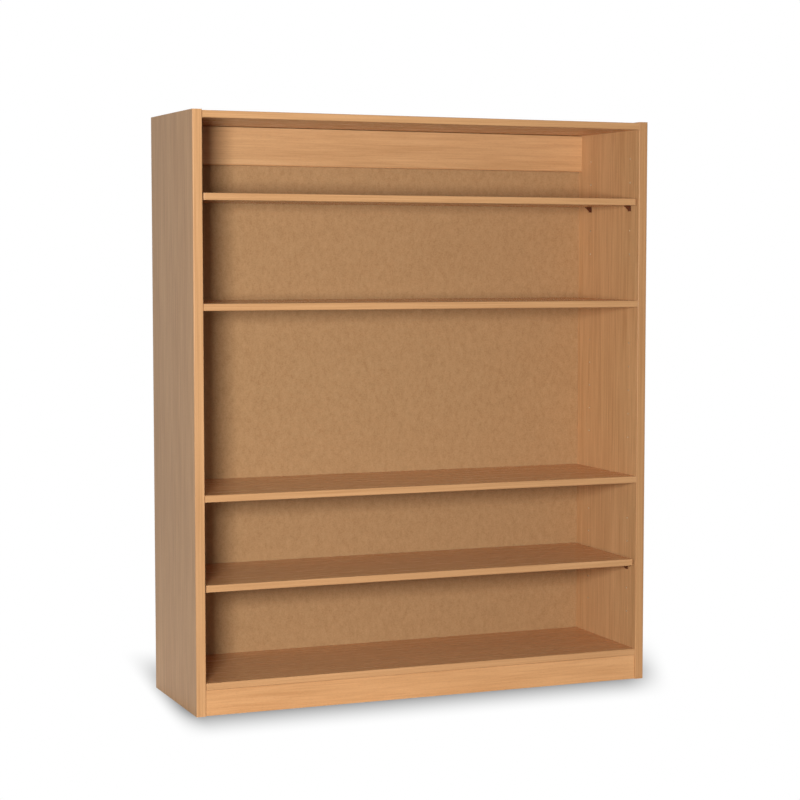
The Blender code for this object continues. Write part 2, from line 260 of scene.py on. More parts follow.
# The darkest and the palest tone, as shares of the colour
PRINT_TONES = (0.87, 1.12)
FOIL_ROUGHNESS = 0.50
FOIL_WANDER = 0.12
FOIL_GLOSS = 0.25


def arched_lines(tree, grain):
    """Contour lines of a slow noise, as a tone about the middle."""
    slow = grain_noise(tree, grain, ARCH_RATE, detail=1.0)
    lines = maths(tree, "SINE", maths(tree, "MULTIPLY", slow, ARCHES * 2 * math.pi))
    return maths(tree, "MULTIPLY_ADD", lines, ARCH_STRENGTH, NOISE_MIDDLE)


def beech_print(name, grain, colour, layers, roughness=FOIL_ROUGHNESS, gloss=FOIL_GLOSS):
    """layers holds rates across and along the grain, and how strongly each layer shows."""
    finish, tree, shader = new_finish(name)
    tone = arched_lines(tree, grain)
    for *rates, strength in layers:
        layer = grain_noise(tree, grain, rates, LAYER_DETAIL, LAYER_DISTORTION)
        tone = weighed(tree, layer, strength, tone)
    plain = wood_tones(tree, tone, colour, *PRINT_TONES)
    flecks = carried(tree, grain_noise(tree, grain, FLECK_RATE, detail=1.0), *FLECK_RANGE)
    printed = specked(tree, plain, flecks, FLECK_STRENGTH, deepened(colour, FLECK_TONE))
    rough = weighed(tree, layer, FOIL_WANDER, roughness)
    pressed = relief(tree, flecks, *FLECK_RELIEF, invert=True)
    plug(tree, shader, Base_Color=printed, Roughness=rough, Normal=pressed, Specular_IOR_Level=gloss)
    return finish


print("beech print ready")

# %% [markdown]
# The two sides, the shelves, the rail and the plinth each get a tone of their own. The two sides are one
# foil: the left side's darker tone is painted shade on its outer face, and the right side's paler tone
# is painted light on its inner face. The sides have the strongest streaks, and the shelves the plainest
# figure under a smoother resin, which gives them their gleam.

# %% Tones of beech foil, with painted shade and light on the sides
# One foil for both sides: the left tone is darker as painted shade, the right tone paler as painted light
SHADED_LEFT_BEECH = (0.510, 0.288, 0.136)
LIT_RIGHT_BEECH = (0.583, 0.330, 0.150)
SHELF_BEECH = (0.590, 0.291, 0.126)
RAIL_BEECH = (0.605, 0.344, 0.158)
PLINTH_BEECH = (0.622, 0.324, 0.138)
BOARD_LAYERS = ((6.0, 0.9, 0.60), (38.0, 2.2, 0.42), (130.0, 4.5, 0.50), (330.0, 9.0, 0.75))
SIDE_LAYERS = ((6.0, 0.9, 0.60), (38.0, 2.2, 0.55), (130.0, 4.5, 1.20), (330.0, 9.0, 1.00))
SHELF_LAYERS = ((38.0, 2.2, 0.30), (115.0, 3.5, 0.25), (330.0, 8.0, 0.40))
SHELF_RESIN = {"roughness": 0.26, "gloss": 0.5}
side_print = {
    "left": beech_print("beech_print_left_shaded", "Z", SHADED_LEFT_BEECH, SIDE_LAYERS),
    "right": beech_print("beech_print_right_lit", "Z", LIT_RIGHT_BEECH, SIDE_LAYERS),
}
shelf_print = beech_print("beech_print_lengthwise", "X", SHELF_BEECH, SHELF_LAYERS, **SHELF_RESIN)
rail_print = beech_print("beech_print_rail", "X", RAIL_BEECH, BOARD_LAYERS)
plinth_print = beech_print("beech_print_plinth", "X", PLINTH_BEECH, BOARD_LAYERS)
beech_finishes = (*side_print.values(), shelf_print, rail_print, plinth_print)
print("made", [finish.name for finish in beech_finishes])

# %% [markdown]
# The front edging is a solid plastic strip with the same print, a shade paler and with stronger stripes
# along its length. The thin tape on the rear and top edges looks the same. Each strip needs its own grain
# direction. Turned coordinates would give that too, but one finish for each of the three axes is plainer,
# and there is one more for the right side's strip, whose darker tone is painted shade.

# %% Edging finish
EDGING_BEECH = (0.572, 0.303, 0.132)
# The right side's edging is darker as painted shade
SHADED_EDGING_BEECH = (0.503, 0.255, 0.105)
EDGING_LAYERS = ((110.0, 1.5, 0.25), (330.0, 3.5, 1.30))
EDGING_ROUGHNESS = 0.38


def edging_finish(name, grain, colour):
    return beech_print("edging_print_" + name, grain, colour, EDGING_LAYERS, EDGING_ROUGHNESS)


edging_print = {axis: edging_finish(axis.lower(), axis, EDGING_BEECH) for axis in AXES}
shaded_edging = edging_finish("deep", "Z", SHADED_EDGING_BEECH)
print("made", len(edging_print) + 1, "edging finishes")

# %% [markdown]
# Where no foil covers it, the board shows its core: wood chips glued in layers, pale and dark, laid flat.
# Noise alone gives soft blots. Voronoi cells with a colour of their own have the hard borders of chips,
# and stretching them along the board lays them flat.

# %% Chipboard core
CHIP_PALE = (0.66, 0.50, 0.31)
CHIP_DARK = (0.40, 0.27, 0.15)
CHIP_STOPS = ((0.0, CHIP_DARK), (0.35, shade(CHIP_PALE, 0.75)), (1.0, CHIP_PALE))
CHIP_RATE = (420.0, 150.0)
CHIP_RELIEF = (0.6, 0.0003)
DUST_RATE = (2200.0, 900.0)
DUST_WEIGHT = 0.5
CORE_ROUGHNESS = 0.85
CORE_WANDER = 0.2


def chip_core(name, grain):
    finish, tree, shader = new_finish(name)
    space = grain_space(tree, grain, *CHIP_RATE)
    cells = add(tree, "TexVoronoi", {"Vector": space, "Scale": 1.0, "Randomness": 1.0})
    chip = add(tree, "SeparateColor", {"Color": cells.outputs["Color"]}).outputs["Red"]
    dust = grain_noise(tree, grain, DUST_RATE)
    tone = weighed(tree, dust, DUST_WEIGHT, chip)
    rough = weighed(tree, dust, CORE_WANDER, CORE_ROUGHNESS)
    torn = relief(tree, tone, *CHIP_RELIEF)
    plug(tree, shader, Base_Color=tones(tree, tone, CHIP_STOPS), Roughness=rough, Normal=torn)
    return finish


core = {axis: chip_core("chipboard_core_" + axis.lower(), axis) for axis in "XZ"}
print("made", len(core), "core finishes")

# %% [markdown]
# The back is bare fibreboard: hardly any grain, only soft clouds drawn out a little the way the sheet ran
# through the press, a mottle of fibre bundles, dark specks and a dry surface. A single noise would look
# like paint on a wall, and three at different sizes are enough to look like fibre.

# %% Bare fibreboard
FIBREBOARD = (0.424, 0.246, 0.112)
FIBREBOARD_TONES = (0.84, 1.12)
CLOUD_RATE = (85.0, 50.0)
CLOUD_WEIGHT = 0.60
FIBRE_SCALE = 300.0
FIBRE_NOISE = {"detail": 3.0, "Roughness": 0.65}
FIBRE_WEIGHT = 1.05
SPECK_SCALE = 900.0
SPECK_RANGE = (0.66, 0.74)
SPECK_STRENGTH = 0.35
SPECK_TONE = 0.4
NAP_RELIEF = (0.3, 0.0002)
DRY_ROUGHNESS = 0.80
DRY_WANDER = 0.2
DRY_GLOSS = 0.25


def bare_fibreboard(name):
    finish, tree, shader = new_finish(name)
    clouds = grain_noise(tree, "Z", CLOUD_RATE)
    fibres = even_noise(tree, FIBRE_SCALE, **FIBRE_NOISE)
    specks = carried(tree, even_noise(tree, SPECK_SCALE, detail=1.0), *SPECK_RANGE)
    tone = weighed(tree, clouds, CLOUD_WEIGHT, NOISE_MIDDLE)
    tone = weighed(tree, fibres, FIBRE_WEIGHT, tone)
    mottled = wood_tones(tree, tone, FIBREBOARD, *FIBREBOARD_TONES)
    colour = specked(tree, mottled, specks, SPECK_STRENGTH, deepened(FIBREBOARD, SPECK_TONE))
    rough = weighed(tree, fibres, DRY_WANDER, DRY_ROUGHNESS)
    nap = relief(tree, fibres, *NAP_RELIEF)
    plug(tree, shader, Base_Color=colour, Roughness=rough, Normal=nap, Specular_IOR_Level=DRY_GLOSS)
    return finish


fibreboard = bare_fibreboard("bare_fibreboard")
print("made", fibreboard.name)

# %% [markdown]
# The supports are moulded in dark brown plastic, with the fine matt skin of a spark-eroded mould and
# slight flow marks. One plain brown would look like a toy, so a high noise drives the bump of the skin,
# and a slow one the tone and the gloss.

# %% Brown moulded plastic
BROWN_PLASTIC = (0.105, 0.026, 0.007)
PLASTIC_STOPS = ((0.25, shade(BROWN_PLASTIC, 0.75)), (0.75, shade(BROWN_PLASTIC, 1.3)))
SKIN_SCALE = 5200.0
SKIN_RELIEF = (0.35, 0.00008)
FLOW_SCALE = 260.0
FLOW_DISTORTION = 1.2
PLASTIC_ROUGHNESS = 0.42
PLASTIC_WANDER = 0.25
PLASTIC_GLOSS = 0.22


def moulded_plastic(name):
    finish, tree, shader = new_finish(name)
    flow = even_noise(tree, FLOW_SCALE, Distortion=FLOW_DISTORTION)
    brown = tones(tree, flow, PLASTIC_STOPS)
    rough = weighed(tree, flow, PLASTIC_WANDER, PLASTIC_ROUGHNESS)
    eroded = relief(tree, even_noise(tree, SKIN_SCALE), *SKIN_RELIEF)
    plug(tree, shader, Base_Color=brown, Roughness=rough, Normal=eroded, Specular_IOR_Level=PLASTIC_GLOSS)
    return finish


plastic = moulded_plastic("brown_moulded_plastic")
print("made", plastic.name)

# %% [markdown]
# Dowels are raw beech, paler than the print and with no resin over it. They never show once the case is
# built, and a plain colour would do then, but a dowel may be looked at on its own, so its finish is made
# properly: streaks along the grain, short pores and a dry surface.

# %% Raw dowel beech
DOWEL_BEECH = (0.62, 0.45, 0.27)
DOWEL_STOPS = ((0.25, shade(DOWEL_BEECH, 0.72)), (0.5, DOWEL_BEECH), (0.75, shade(DOWEL_BEECH, 1.12)))
STREAK_RATE = (900.0, 40.0)
PORE_RATE = (2600.0, 300.0)
PORE_WEIGHT = 0.6
PORE_RELIEF = (0.4, 0.00015)
RAW_ROUGHNESS = 0.72
RAW_WANDER = 0.2


def raw_beech(name):
    finish, tree, shader = new_finish(name)
    streaks = grain_noise(tree, "X", STREAK_RATE, detail=3.0)
    tone = weighed(tree, grain_noise(tree, "X", PORE_RATE, detail=1.0), PORE_WEIGHT, streaks)
    rough = weighed(tree, streaks, RAW_WANDER, RAW_ROUGHNESS)
    pores = relief(tree, tone, *PORE_RELIEF)
    plug(tree, shader, Base_Color=tones(tree, tone, DOWEL_STOPS), Roughness=rough, Normal=pores)
    return finish


dowel_beech = raw_beech("raw_dowel_beech")
print("made", dowel_beech.name)

# %% [markdown]
# The screws are steel with bright zinc plating. Plating is never an even mirror: its gloss wanders in
# small patches. Scratches could be drawn too, but new screws have few, so one patchy noise is enough.

# %% Bright zinc
ZINC = (0.62, 0.61, 0.58)
ZINC_STOPS = ((0.3, shade(ZINC, 0.85)), (0.7, ZINC))
PATCH_SCALE = 900.0
PATCH_RELIEF = (0.15, 0.00003)
ZINC_ROUGHNESS = 0.34
ZINC_WANDER = 0.35


def bright_zinc(name):
    finish, tree, shader = new_finish(name)
    patches = even_noise(tree, PATCH_SCALE, detail=3.0)
    plated = tones(tree, patches, ZINC_STOPS)
    rough = weighed(tree, patches, ZINC_WANDER, ZINC_ROUGHNESS)
    fine = relief(tree, patches, *PATCH_RELIEF)
    plug(tree, shader, Base_Color=plated, Roughness=rough, Normal=fine, Metallic=1.0)
    return finish


zinc = bright_zinc("bright_zinc")
print("made", zinc.name)

# %% [markdown]
# The boards stay as the exact solids they are, and only their faces are sorted: foil on the two broad
# faces, tape on the edges that show from behind or above, bare core everywhere else, which takes in the
# sawn ends, the grooves and the inside of every hole. Picking the faces by hand would be slow, so a face
# is told by its normal and by lying in the board's outer plane.

# %% Sort the faces of a board
FLATNESS = 0.00005
SQUARENESS = 0.99
FOIL, TAPE, BARE = range(3)


def lies_in(face, corners, axis, end):
    """True for a face in the outer plane of one end of a board, with end 0 for low and 1 for high."""
    along = AXES.index(axis)
    square = abs(face.normal[along]) > SQUARENESS
    return square and abs(face.center[along] - corners[end][along]) < FLATNESS


def dress_board(node, foil, broad_axis, tape, taped_edges, bare):
    """taped_edges holds (axis, end) pairs."""
    board = solids[node]
    mesh = board.data
    mesh.materials.clear()
    for finish in (foil, tape, bare):
        mesh.materials.append(finish)
    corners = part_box(node)
    counts = [0, 0, 0]
    for face in mesh.polygons:
        place = BARE
        if any(lies_in(face, corners, broad_axis, end) for end in (0, 1)):
            place = FOIL
        elif any(lies_in(face, corners, *edge) for edge in taped_edges):
            place = TAPE
        face.material_index = place
        counts[place] += 1
    print(node, "faces with foil, tape and bare core:", counts)


print("faces lie in a plane within", FLATNESS * 1000, "mm")

# %% [markdown]
# On a case like this, tape covers only the raw edges that a person can see: the rear and top edges of the
# sides and the rear edge of the top. Taping every edge would be easier to write, but the hidden ends of
# such boards are left bare.

# %% Foil and tape on the boards
side_edges = [("Y", 1), ("Z", 1)]
for side in ("left", "right"):
    dress_board(side + "_side_panel", side_print[side], "X", edging_print["Z"], side_edges, core["Z"])
dress_board("top_panel", shelf_print, "Z", edging_print["X"], [("Y", 1)], core["X"])
fixed_shelves = ["upper_fixed_shelf", "lower_fixed_shelf", "base_shelf"]
for node in fixed_shelves + ["upper_adjustable_shelf", "lower_adjustable_shelf"]:
    dress_board(node, shelf_print, "Z", edging_print["X"], [], core["X"])
dress_board("top_rear_rail", rail_print, "Y", edging_print["X"], [], core["X"])
dress_board("plinth", plinth_print, "Y", edging_print["X"], [], core["X"])

# %% [markdown]
# The back is one thin sheet, and every face of it is bare. Sorting its faces would find nothing, so one
# finish goes over the whole solid.

# %% The back panel
back_mesh = solids["back_panel"].data
back_mesh.materials.clear()
back_mesh.materials.append(fibreboard)
print("back_panel is bare fibreboard")

# %% [markdown]
# New pieces stand in for solids whose curves deserve more facets. Each one sits where its solid sits,
# moves with the same body and names the solid that it replaces, so the case still slides and comes apart
# as before. Moving or reshaping the solids themselves would do away with the exact shapes.

# %% Put a piece in place of a solid
def object_of(name, data):
    """A new object in the scene, from a mesh, a lamp or a camera."""
    made = bpy.data.objects.new(name, data)
    bpy.context.scene.collection.objects.link(made)
    return made


def stand_in(name, mesh, node, finish, place=None):
    """A piece that takes the place of a solid, on the solid's own body."""
    piece = object_of(name, mesh)
    if place is not None:
        piece.matrix_world = place
    if not mesh.materials:
        mesh.materials.append(finish)
    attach(piece, body_of[node])
    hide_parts(node)
    return piece


print("pieces ride on", sorted(set(body_of.values())))

# %% [markdown]
# The meshes of these pieces are built in bmesh, which gives the same corners in the same order at every
# run. They are shaded smooth, so that a few facets look round, but an edge that is sharp on the real
# piece has to stay crisp, and a broad flat face must not pick up the bend of the rounding beside it.

# %% Meshes and their shading
SHARP_ANGLE = 35.0


def mesh_of(name, bm):
    """A mesh from a bmesh, with its faces turned outwards."""
    bmesh.ops.recalc_face_normals(bm, faces=bm.faces)
    mesh = bpy.data.meshes.new(name)
    bm.to_mesh(mesh)
    bm.free()
    return mesh


def smoothed(mesh, sharp_angle=SHARP_ANGLE):
    """Shades a mesh smooth apart from its sharp edges."""
    mesh.shade_smooth()
    mesh.set_sharp_from_angle(angle=math.radians(sharp_angle))
    return mesh


def even_shading(piece):
    """Keeps broad flat faces flat beside small rounded ones."""
    modifier = piece.modifiers.new("even shading", "WEIGHTED_NORMAL")
    modifier.keep_sharp = True
    return piece


print("edges over", SHARP_ANGLE, "degrees stay sharp")

# %% [markdown]
# A strip of edging is a long cuboid whose two outer arrises are rounded by a cutter after gluing. Those
# arrises catch the light as fine bright lines, so they get eight facets each. A bevel of picked edges
# does it, and the rest of the strip stays square where it meets the board. The strips on a loose shelf's
# ends also have a rounded front corner.

# %% Shape of an edging strip
EDGING_RADIUS = 0.0027
EDGING_FACETS = 8
ROUND_PROFILE = 0.5


def edging_strip(node, out_axis, out_sign, front_corner=False, finish=None):
    """A strip in its solid's box, rounded along the face that looks out."""
    low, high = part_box(node)
    size = high - low
    out = AXES.index(out_axis)
    run = max(range(3), key=lambda axis: size[axis])
    face_at = high[out] if out_sign > 0 else low[out]

    def is_outer_arris(edge):
        ends = [corner.co for corner in edge.verts]
        on_face = all(abs(end[out] - face_at) < FLATNESS for end in ends)
        long_arris = abs(ends[0][run] - ends[1][run]) > size[run] / 2
        front_arris = front_corner and all(end.y - low.y < FLATNESS for end in ends)
        return on_face and (long_arris or front_arris)

    bm = bmesh.new()
    block = Matrix.Translation((low + high) / 2) @ Matrix.Diagonal((*size, 1.0))
    bmesh.ops.create_cube(bm, size=1.0, matrix=block)
    arrises = [edge for edge in bm.edges if is_outer_arris(edge)]
    rounding = {"offset": EDGING_RADIUS, "segments": EDGING_FACETS, "profile": ROUND_PROFILE}
    bmesh.ops.bevel(bm, geom=arrises, affect="EDGES", **rounding)
    name = node + "_strip"
    beech = finish or edging_print[AXES[run]]
    return even_shading(stand_in(name, smoothed(mesh_of(name, bm)), node, beech))


print("edging has arrises of", EDGING_RADIUS * 1000, "mm")

# %% [markdown]
# Thirteen strips close the raw edges that face the room: the fronts of the sides and the boards, the ends
# of the loose shelves and the lower edge of the rail. Each could be listed with its own numbers, but
# every size is already in the solid, so only the side that looks out is told.

# %% Edging strips
front_edgings = ["left_side", "top_panel", "upper_fixed_shelf", "lower_fixed_shelf", "base_shelf"]
front_edgings += ["upper_adjustable_shelf_front", "lower_adjustable_shelf_front"]
strips = [edging_strip(node + "_edging", "Y", -1) for node in front_edgings]
# The right side's strip gets the edging that is darker as painted shade
strips.append(edging_strip("right_side_edging", "Y", -1, finish=shaded_edging))
strips.append(edging_strip("top_rear_rail_edging", "Z", -1))
for level in ("upper", "lower"):
    for side, sign in (("left", -1), ("right", 1)):
        strips.append(edging_strip(f"{level}_adjustable_shelf_{side}_edging", "X", sign, front_corner=True))
print("made", len(strips), "edging strips")

# %% [markdown]
# A shelf support is one small moulding: a plate against the side, a ledge under the shelf, a gusset
# between them and a round pin in the side's hole. Its reach, width and height could be typed in again,
# but they are measured on the solid, so that the moulding follows it.

# %% Sizes of a shelf support
PLATE_GAP = 0.0003
SUPPORT_WALL = 0.0025
GUSSET_WIDTH = 0.003
SUPPORT_RISE = 0.0025
sample_low, sample_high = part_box("upper_shelf_support_front_left")
side_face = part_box("left_side_panel")[1].x
pin_length = side_face - sample_low.x
ledge_end = sample_high.x - side_face
support_width = sample_high.y - sample_low.y
support_height = sample_high.z - sample_low.z
print("support reaches", round(ledge_end * 1000, 1), "mm, its pin", round(pin_length * 1000, 1), "mm")

# %% [markdown]
# The plate, ledge and gusset are one outline pushed through three widths, so that the gusset grows out of
# the others with no cut. Three blocks stuck together would be quicker, but would leave faces inside the
# moulding.

# %% Support angle with its gusset
# Corners of the outline that the gusset joins
FOOT, CORNER, TIP = 1, 2, 3


def support_angle():
    inner = PLATE_GAP + SUPPORT_WALL
    top = SUPPORT_RISE
    under = top - SUPPORT_WALL
    foot = top - support_height
    outline = [(PLATE_GAP, foot), (inner, foot), (inner, under)]
    outline += [(ledge_end, under), (ledge_end, top), (PLATE_GAP, top)]
    widths = (-support_width / 2, -GUSSET_WIDTH / 2, GUSSET_WIDTH / 2, support_width / 2)
    bm = bmesh.new()
    rings = [[bm.verts.new((x, y, z)) for x, z in outline] for y in widths]
    for layer, (near, far) in enumerate(zip(rings, rings[1:])):
        for step in range(len(outline)):
            after = (step + 1) % len(outline)
            inside_gusset = layer == 1 and step in (FOOT, CORNER)
            if not inside_gusset:
                bm.faces.new((near[step], near[after], far[after], far[step]))
    for ring in (rings[0], rings[-1]):
        bm.faces.new(ring)
    near, far = rings[1], rings[2]
    bm.faces.new((near[FOOT], near[TIP], far[TIP], far[FOOT]))
    for ring in (near, far):
        bm.faces.new((ring[FOOT], ring[CORNER], ring[TIP]))
    return bm


print("support outline is", round(support_height * 1000, 1), "mm high")

# %% [markdown]
# The pin is turned, like the dowels and the screws further on: rings of corners along an axis, joined by
# bands of faces. A ready-made cylinder has no tip, and would have to be edited.

# %% Turned shapes
def turns_of(steps):
    """Even directions once round, in radians."""
    return [2 * math.pi * step / steps for step in range(steps)]


def close_rings(bm, rings):
    """Joins rings of corners by bands of faces and closes both ends."""
    steps = len(rings[0])
    for near, far in zip(rings, rings[1:]):
        for step in range(steps):
            after = (step + 1) % steps
            bm.faces.new((near[step], near[after], far[after], far[step]))
    bm.faces.new(rings[0])
    bm.faces.new(rings[-1])


def turned(profile, steps, radius_at):
    """A closed shape turned about X; profile holds a place along X and a measure that radius_at takes."""
    bm = bmesh.new()
    rings = []
    for along, measure in profile:
        ring = [(radius_at(measure, turn), turn) for turn in turns_of(steps)]
        rings.append([bm.verts.new((along, r * math.cos(turn), r * math.sin(turn))) for r, turn in ring])
    close_rings(bm, rings)
    return bm


print("turning ready")

# %% [markdown]
# The pin and the angle come out of one mould, so a Boolean makes them one skin. A bevel then softens
# every corner, as a mould does. Both are modifiers, made real once, so that all eight supports share one
# mesh.

# %% Join the pin and soften the corners
PIN_RADIUS = 0.0023
PIN_TIP = 0.0007
PIN_STEPS = 32
SUPPORT_SOFTENING = 0.00035
SOFTENING_FACETS = 3
SOFTENED_ANGLE = 40.0


def combine(obj, other, operation):
    """A Boolean with another object, as a modifier."""
    modifier = obj.modifiers.new(operation.lower(), "BOOLEAN")
    modifier.operation = operation
    modifier.solver = "EXACT"
    modifier.object = other


def applied(obj):
    """The mesh of an object with its modifiers made real; the object itself goes."""
    bpy.context.view_layer.update()
    graph = bpy.context.evaluated_depsgraph_get()
    mesh = bpy.data.meshes.new_from_object(obj.evaluated_get(graph))
    bpy.data.objects.remove(obj)
    return mesh


pin_profile = [(-pin_length, PIN_RADIUS - PIN_TIP), (-pin_length + PIN_TIP, PIN_RADIUS)]
pin_profile += [(0.0, PIN_RADIUS), (SUPPORT_WALL / 2, PIN_RADIUS)]
pin_shape = turned(pin_profile, PIN_STEPS, lambda radius, turn: radius)
pin = object_of("support_pin", mesh_of("support_pin", pin_shape))
angle = object_of("support_angle", mesh_of("support_angle", support_angle()))
combine(angle, pin, "UNION")
soften = angle.modifiers.new("soften", "BEVEL")
soften.width = SUPPORT_SOFTENING
soften.segments = SOFTENING_FACETS
soften.limit_method = "ANGLE"
soften.angle_limit = math.radians(SOFTENED_ANGLE)
support_mesh = smoothed(applied(angle))
support_mesh.name = "shelf_support_moulding"
bpy.data.objects.remove(pin)
print("support has", len(support_mesh.polygons), "faces")

# %% [markdown]
# Each support is pushed into its side from within the case. The mesh has its origin where the pin's axis
# meets the side, so placing one is a single move, with half a turn for the right side. Mirroring would do
# that too, but a negative scale turns faces inside out.

# %% Supports in their holes
def seat_in(side, y, z):
    """Where a piece sits whose origin lies on a side's inner face."""
    face = side_face if side == "left" else -side_face
    turn = 0.0 if side == "left" else math.pi
    return Matrix.Translation((face, y, z)) @ Matrix.Rotation(turn, 4, "Z")


supports = []
for level in ("upper", "lower"):
    for column in ("front", "rear"):
        for side in ("left", "right"):
            node = f"{level}_shelf_support_{column}_{side}"
            low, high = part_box(node)
            seat = seat_in(side, (low.y + high.y) / 2, high.z - SUPPORT_RISE)
            piece = stand_in(node + "_moulding", support_mesh, node, plastic, seat)
            supports.append(even_shading(piece))
print("placed", len(supports), "supports")

# %% [markdown]
# Dowels for gluing have flutes down their length, so that air and spare glue can get out of the hole.
# Cutting eighteen grooves with Booleans would be slow. Here the flutes are a ripple in the radius round
# the dowel, and both ends are chamfered. One mesh serves all twenty-four.

# %% Fluted dowels
FLUTES = 18
STEPS_PER_FLUTE = 4
FLUTE_DEPTH = 0.0002
DOWEL_CHAMFER = 0.001
FLUTED_ANGLE = 40.0
dowel_low, dowel_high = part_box("base_shelf_dowel_front_left")
dowel_radius = (dowel_high.z - dowel_low.z) / 2
in_side = side_face - dowel_low.x
in_board = dowel_high.x - side_face


def fluted_radius(inset, turn):
    ripple = FLUTE_DEPTH * (1 - math.cos(FLUTES * turn)) / 2
    return dowel_radius - inset - ripple


dowel_profile = [(-in_side, DOWEL_CHAMFER), (-in_side + DOWEL_CHAMFER, 0.0)]
dowel_profile += [(in_board - DOWEL_CHAMFER, 0.0), (in_board, DOWEL_CHAMFER)]
dowel_shape = turned(dowel_profile, FLUTES * STEPS_PER_FLUTE, fluted_radius)
dowel_mesh = smoothed(mesh_of("fluted_dowel", dowel_shape), FLUTED_ANGLE)
dowels = []
for node in sorted(name for name in solids if "_dowel_" in name):
    low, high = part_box(node)
    side = node.rsplit("_", 1)[1]
    seat = seat_in(side, (low.y + high.y) / 2, (low.z + high.z) / 2)
    dowels.append(stand_in(node + "_fluted", dowel_mesh, node, dowel_beech, seat))
print("placed", len(dowels), "dowels")

# %% [markdown]
# Three countersunk screws hold the back to the base shelf. A thread could be a coil wound round a rod,
# but the two would overlap. Here the radius of a turned shape rises and falls along a helix, which makes
# a real thread from one ring formula.

# %% Radius along a screw
SCREW_PITCH = 0.0016
SCREW_CORE = 0.0011
SHANK = 0.0016
HEAD_RIM = 0.0006
HEAD_CONE = 0.0019
HEAD_DEPTH = HEAD_RIM + HEAD_CONE
POINT = 0.004
POINT_SHARE = 0.25
CREST_STEEPNESS = 1.6
screw_low, screw_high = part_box("back_panel_screw_middle")
screw_length = screw_high.y - screw_low.y
head_radius = (screw_high.x - screw_low.x) / 2


def screw_radius(depth, turn):
    """Radius at a depth below the head's face, for one direction round the screw."""
    if depth <= HEAD_RIM:
        return head_radius
    if depth <= HEAD_DEPTH:
        return head_radius + (SHANK - head_radius) * (depth - HEAD_RIM) / HEAD_CONE
    along = depth / SCREW_PITCH - turn / (2 * math.pi)
    crest = max(0.0, 1.0 - abs(2.0 * (along % 1.0) - 1.0) * CREST_STEEPNESS)
    taper = min(1.0, (screw_length - depth) / POINT)
    start = min(1.0, (depth - HEAD_DEPTH) / SCREW_PITCH)
    thread = SCREW_CORE + (SHANK - SCREW_CORE) * crest
    return (SHANK + (thread - SHANK) * start) * (POINT_SHARE + (1 - POINT_SHARE) * taper)


print("screw is", round(screw_length * 1000, 1), "mm long")

# %% [markdown]
# The head needs only three rings, for its face, its rim and the foot of its cone. The thread needs eight
# to each turn of the helix, because its crests would be cut off between fewer. Spacing all rings alike
# would waste faces on the head.

# %% Shape of a countersunk screw
SCREW_STEPS = 32
ROWS_PER_PITCH = 8


def screw_shape():
    """A screw along Y, with its head's face at the origin and its point towards the front."""
    threaded = screw_length - HEAD_DEPTH
    rows = int(threaded / SCREW_PITCH * ROWS_PER_PITCH)
    depths = [0.0, HEAD_RIM, HEAD_DEPTH]
    depths += [HEAD_DEPTH + threaded * row / rows for row in range(1, rows + 1)]
    bm = bmesh.new()
    rings = []
    for depth in depths:
        ring = [(screw_radius(depth, turn), turn) for turn in turns_of(SCREW_STEPS)]
        rings.append([bm.verts.new((r * math.sin(turn), -depth, r * math.cos(turn))) for r, turn in ring])
    close_rings(bm, rings)
    return bm


screw = object_of("screw_body", mesh_of("screw_body", screw_shape()))
print("screw body has", len(screw.data.polygons), "faces")

# %% [markdown]
# The cross in the head is pressed in by a tapered punch. Two crossed wedges have the shape of that punch,
# and Booleans cut them out of the head. Faces could be moved by hand instead, but the rings of the head
# don't follow a cross.

# %% Cross recess, and the screws in place
CROSS_LENGTH = 0.0036
CROSS_WIDTH = 0.0008
CROSS_DEPTH = 0.0016
CROSS_LENGTH_TAPER = 0.35
CROSS_WIDTH_TAPER = 0.7
RECESS_ANGLE = 40.0


def cross_wedge(turn):
    bm = bmesh.new()
    block = Matrix.Diagonal((CROSS_LENGTH, 2 * CROSS_DEPTH, CROSS_WIDTH, 1.0))
    bmesh.ops.create_cube(bm, size=1.0, matrix=block)
    for corner in bm.verts:
        if corner.co.y < 0:
            corner.co.x *= CROSS_LENGTH_TAPER
            corner.co.z *= CROSS_WIDTH_TAPER
    bmesh.ops.rotate(bm, verts=bm.verts, cent=(0, 0, 0), matrix=Matrix.Rotation(turn, 3, "Y"))
    return mesh_of("cross_wedge", bm)


wedges = [object_of(f"cross_wedge_{number}", cross_wedge(number * math.pi / 2)) for number in range(2)]
for wedge in wedges:
    combine(screw, wedge, "DIFFERENCE")
screw_mesh = smoothed(applied(screw), RECESS_ANGLE)
screw_mesh.name = "countersunk_screw"
for wedge in wedges:
    bpy.data.objects.remove(wedge)
for place in ("left", "middle", "right"):
    node = "back_panel_screw_" + place
    low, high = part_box(node)
    seat = Vector(((low.x + high.x) / 2, high.y, (low.z + high.z) / 2))
    stand_in(node + "_turned", screw_mesh, node, zinc, Matrix.Translation(seat))
print("screw has", len(screw_mesh.polygons), "faces")

# %% [markdown]
# The floor is a pale sheet that fades into a white backdrop. A lit sheet would turn grey away from the
# lamp, so what the camera sees is a plain white glow, and mirrored views see it too. Light that only
# bounces has to meet a real sheet, so the two kinds of ray are told apart first.

# %% Rays that look straight at the studio
def looks_at_studio(tree):
    """1 for a camera ray and for a mirrored or refracted view, 0 for light that only bounces."""
    path = add(tree, "LightPath").outputs
    mirrored = maths(tree, "MAXIMUM", path["Is Glossy Ray"], path["Is Transmission Ray"])
    return maths(tree, "MAXIMUM", path["Is Camera Ray"], mirrored)


print("studio rays sorted")

# %% [markdown]
# The glow is dimmed close to the case. Its shade is a product of four soft steps, one for each side of
# the footprint, so that it rounds off at the corners as a blurred shadow does. Each step starts inside
# the footprint, ends at its own reach outside it, and may slant away from the softbox. The lamps alone
# can't draw it, because a glow takes no shadow.

# %% Shade round the case
SHADE_DEPTH = 0.90
